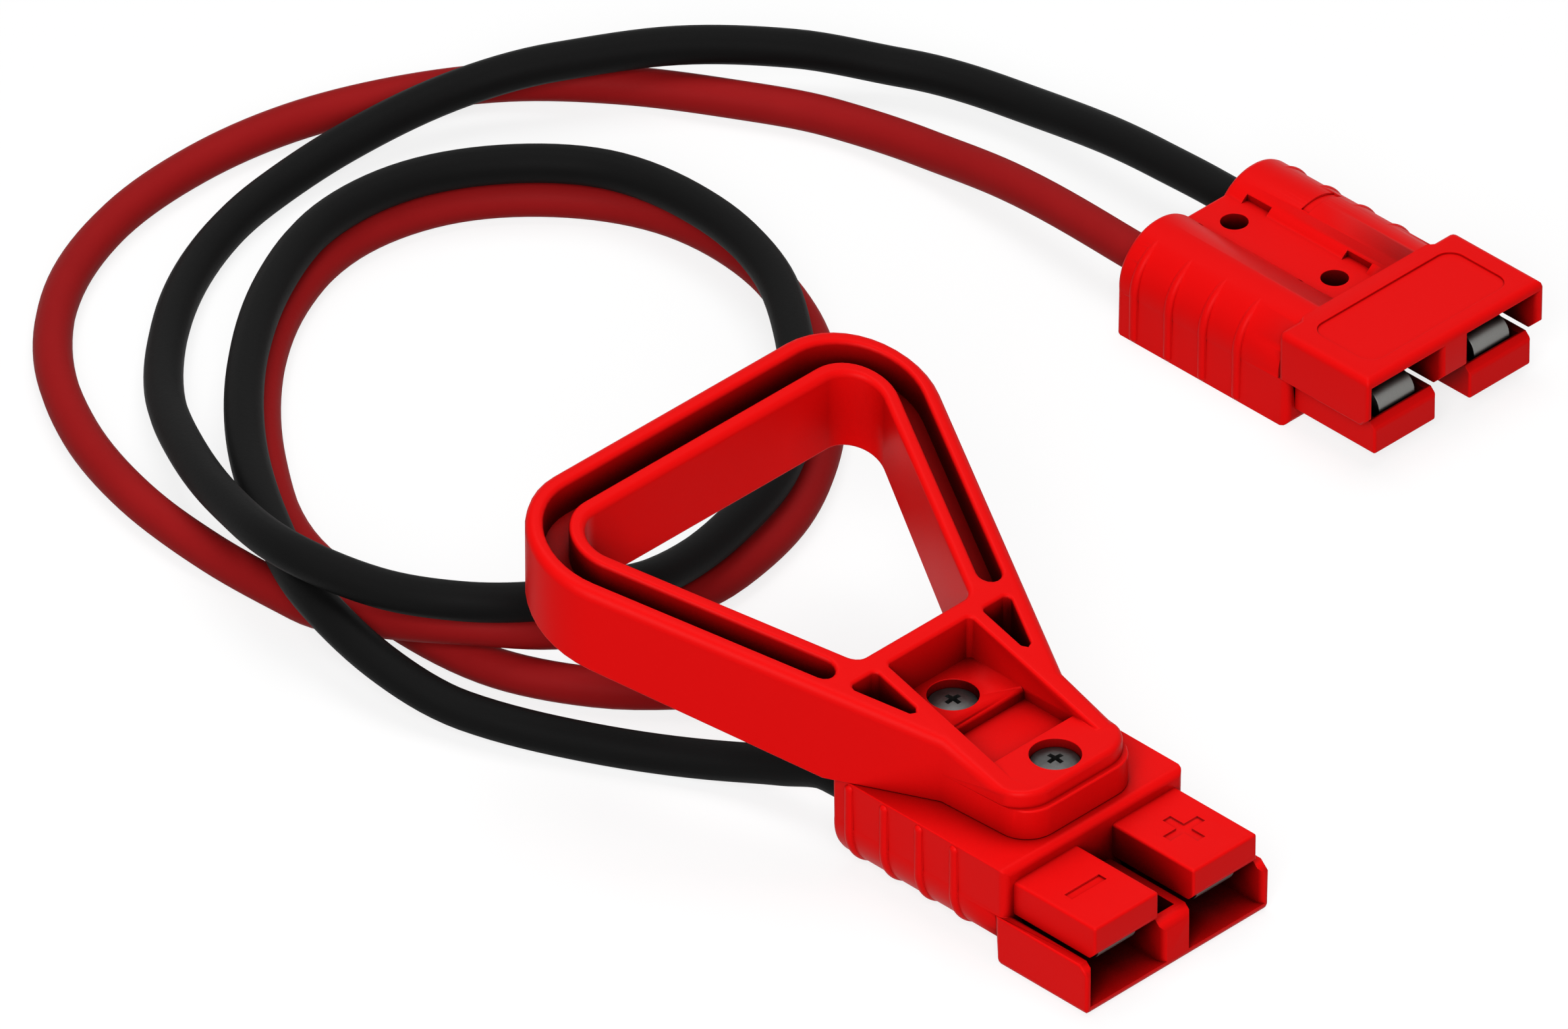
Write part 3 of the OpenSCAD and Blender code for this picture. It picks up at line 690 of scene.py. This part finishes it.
def screw_row(tree, given):
    """Pan-head screws with a cross recess and a thread, with their seats at height 0."""
    recess_taper, thread_depth = -0.4, 0.06
    radius, rim, dome = given["head"] / 2, given["rim"], given["dome"]
    x, y, z = spot(tree)
    bulge = dome * (1 - (x * x + y * y) / (radius * radius))
    disc = rod(tree, sides=48, radius=radius, depth=rim, cap_rings=8)
    head = moved(tree, disc, triple(tree, z=bulge), tree.maths("GREATER_THAN", z, 0))
    wide, slim, deep = given["recess length"], given["recess width"], given["recess depth"]
    for size in ((wide, slim, deep * 2), (slim, wide, deep * 2)):
        arm = tree.add("GeometryNodeMeshCube", {}, {"Size": triple(tree, *size)})
        narrower = triple(tree, x * recess_taper, y * recess_taper)
        arm = moved(tree, arm, narrower, tree.maths("LESS_THAN", z, 0))
        head = less(tree, head, moved(tree, arm, triple(tree, z=rim / 2 + dome)))
    head = moved(tree, head, triple(tree, z=rim / 2))
    length, pitch = given["length"], given["thread pitch"]
    core = rod(tree, sides=24, radius=given["shank"] / 2, depth=length, rings=110)
    turn = tree.maths("ARCTAN2", y, x) + z * (2 * math.pi) / pitch
    ridge = (tree.maths("SINE", turn) - 1) * thread_depth
    shank = moved(tree, core, triple(tree, x * ridge, y * ridge))
    shank = moved(tree, shank, triple(tree, z=rim / 2 - length / 2))
    screw = tree.add("GeometryNodeJoinGeometry", {}, {"Geometry": [head, shank]})
    return in_a_row(tree, screw, given["count"], given["pitch"])


def nut_row(tree, given):
    """Hexagon nuts with chamfered lower corners, standing on height 0."""
    flat, height = given["flats"] / 2, given["height"]
    margin = 0.5 * MM
    hexagon = rod(tree, sides=6, radius=flat / math.cos(math.pi / 6), depth=height)
    ends = {"Vertices": 48, "Depth": height + 2 * margin,
            "Radius Top": flat + height + margin, "Radius Bottom": flat - margin}
    cone = tree.add("GeometryNodeMeshCone", {}, ends)
    cone = moved(tree, cone, triple(tree, z=height / -2 - margin))
    settings = {"operation": "INTERSECT", "solver": "EXACT"}
    nut = tree.add("GeometryNodeMeshBoolean", settings, {1: [hexagon, cone]})
    nut = less(tree, nut, rod(tree, sides=32, radius=given["bore"] / 2, depth=height * 2))
    nut = moved(tree, nut, triple(tree, z=height / 2))
    return in_a_row(tree, nut, given["count"], given["pitch"])


def strand_bundle(tree, given):
    """Twisted strands in rings round a middle one, from 0 along X."""
    strand = given["strand"]
    spots = [tree.add("GeometryNodeMeshLine", {}, {"Count": 1})]
    for ring in (1, 2):
        inputs = {"Vertices": 6 * ring, "Radius": strand * ring}
        spots.append(tree.add("GeometryNodeMeshCircle", {}, inputs))
    upright = tree.add("GeometryNodeTransform", {}, {
        "Geometry": tree.add("GeometryNodeJoinGeometry", {}, {"Geometry": spots}),
        "Rotation": (0, math.pi / 2, 0)})
    line = tree.add("GeometryNodeCurvePrimitiveLine", {}, {"End": triple(tree, given["length"])})
    stepped = tree.add("GeometryNodeResampleCurve", {}, {"Curve": line, "Count": given["steps"]})
    inputs = {"Points": upright, "Instance": stepped}
    straight = tree.add("GeometryNodeInstanceOnPoints", {}, inputs)
    straight = tree.add("GeometryNodeRealizeInstances", {}, {"Geometry": straight})
    x = spot(tree)[X]
    inputs = {"Vector": tree.add("GeometryNodeInputPosition"),
              "Angle": x * (2 * math.pi) / given["lay"]}
    wound = tree.add("ShaderNodeVectorRotate", {"rotation_type": "X_AXIS"}, inputs)
    twisted = tree.add("GeometryNodeSetPosition", {}, {"Geometry": straight, "Position": wound})
    inputs = {"Resolution": 8, "Radius": strand / 2}
    profile = tree.add("GeometryNodeCurvePrimitiveCircle", {}, inputs)
    return tree.add("GeometryNodeCurveToMesh", {}, {
        "Curve": twisted, "Profile Curve": profile, "Fill Caps": True})


def make_fasteners():
    """Two screws down through the handle and the front housing into two nuts."""
    row = {"count": 2}
    seat, rim, tip, nut_foot = 4.5, 1.6, -15.6, -16.0
    sizes = {"pitch": HOLE_PITCH, "head": 7.2, "rim": rim, "dome": 0.7, "recess length": 3.4,
             "recess width": 0.95, "recess depth": 1.3, "shank": 3.9,
             "length": seat + rim / 2 - tip, "thread pitch": 0.7}
    place = Matrix.Translation(FRONT_AT + Vector((-HOLE_FRONT, 0, seat)))
    grown_piece("handle_pan_screws", screw_row, row, sizes, place, "dark_steel", "handle_screws")
    sizes = {"pitch": HOLE_PITCH, "flats": 7.0, "height": 2.2, "bore": 4.0}
    place = Matrix.Translation(FRONT_AT + Vector((-HOLE_FRONT, 0, nut_foot)))
    grown_piece("handle_hex_nuts", nut_row, row, sizes, place, "nut_steel", "handle_nuts")


def make_wire_end(name, node, at, pole):
    """The bare end of a cable's wire, in its contact's barrel."""
    counts, sizes = {"steps": 14}, {"strand": 0.84, "length": 12.0, "lay": 45.0}
    place = at @ Matrix.Translation((JACKET_END, pole * POLE_Y, LOBE_Z))
    grown_piece(name, strand_bundle, counts, sizes, place, "copper", node)


def grey(tone):
    return (tone, tone, tone, 1)


def seen_rays(tree):
    """1 for what is seen, straight or in a shiny or clear surface, and 0 for what only lights."""
    kinds = ("Is Camera Ray", "Is Glossy Ray", "Is Transmission Ray")
    return sum(tree.add("ShaderNodeLightPath", output=kind) for kind in kinds)


def pale_floor():
    """A white floor that keeps a faint shadow of the object."""
    material = bpy.data.materials.new("pale_floor")
    material.use_nodes = True
    tree = Tree(material.node_tree)
    plain = tree.add("ShaderNodeBsdfDiffuse", {}, {"Color": grey(0.35)})
    shade = tree.add("ShaderNodeBsdfDiffuse", {}, {"Color": grey(0.25)})
    glow = tree.add("ShaderNodeEmission", {}, {"Color": grey(1), "Strength": 0.8})
    white = tree.add("ShaderNodeAddShader", {}, {0: shade, 1: glow})
    both = tree.add("ShaderNodeMixShader", {}, {0: seen_rays(tree), 1: plain, 2: white})
    tree.add("ShaderNodeOutputMaterial", {}, {"Surface": both})
    made = bmesh.new()
    bmesh.ops.create_grid(made, x_segments=1, y_segments=1, size=4)
    floor = mesh_object("floor", made)
    floor.data.materials.append(material)
    # The painted shade in the finishes counts what casts shadows, and the floor is no part of the
    # object
    floor.visible_shadow = False


def studio_light():
    """A lamp from in front and one from above, in a white room that lights only from above.
    Places and sizes are in metres."""
    room_glow = 0.12
    world = bpy.data.worlds.new("room")
    world.use_nodes = True
    tree = Tree(world.node_tree)
    way = tree.add("ShaderNodeTexCoord", output="Generated")
    height = tree.add("ShaderNodeSeparateXYZ", {}, {0: way}, "Z")
    strength = tree.maths("GREATER_THAN", height, 0.0) * room_glow
    dim = tree.add("ShaderNodeBackground", {}, {"Color": grey(1), "Strength": strength})
    white = tree.add("ShaderNodeBackground", {}, {"Color": grey(1), "Strength": 1.0})
    both = tree.add("ShaderNodeMixShader", {}, {0: seen_rays(tree), 1: dim, 2: white})
    tree.add("ShaderNodeOutputWorld", {}, {"Surface": both})
    bpy.context.scene.world = world
    target = Vector((-0.03, -0.02, 0.02))
    for name, place, size, watts in (
            ("key_lamp", (0.85, -1.15, 1.05), 0.9, 21.0),
            ("top_lamp", (-0.25, 0.2, 1.6), 1.1, 11.5)):
        lamp = bpy.data.lights.new(name, "AREA")
        lamp.size, lamp.energy = size, watts
        aim(new_object(name, lamp), Vector(place), target)


make_camera()
finishes = make_finishes()
make_cable("red_lead", -1, RED_WAY, "red_jacket")
make_cable("black_lead", 1, BLACK_WAY, "black_jacket")
make_housing("front_moulding", "front_housing", AT_FRONT)
make_housing("rear_moulding", "rear_housing", AT_REAR)
make_handle()
for end, at in (("front", AT_FRONT), ("rear", AT_REAR)):
    for pole, side in (("positive", -1), ("negative", 1)):
        make_stamping(f"{end}_{pole}_blade", f"{end}_{pole}_contact", "contact_metal")
        make_stamping(f"{end}_{pole}_leaf", f"{end}_{pole}_spring", "spring_steel")
        make_wire_end(f"{end}_{pole}_wire", f"{end}_{pole}_core", at, side)
make_fasteners()
pale_floor()
studio_light()
bpy.context.scene.view_settings.view_transform = "Standard"
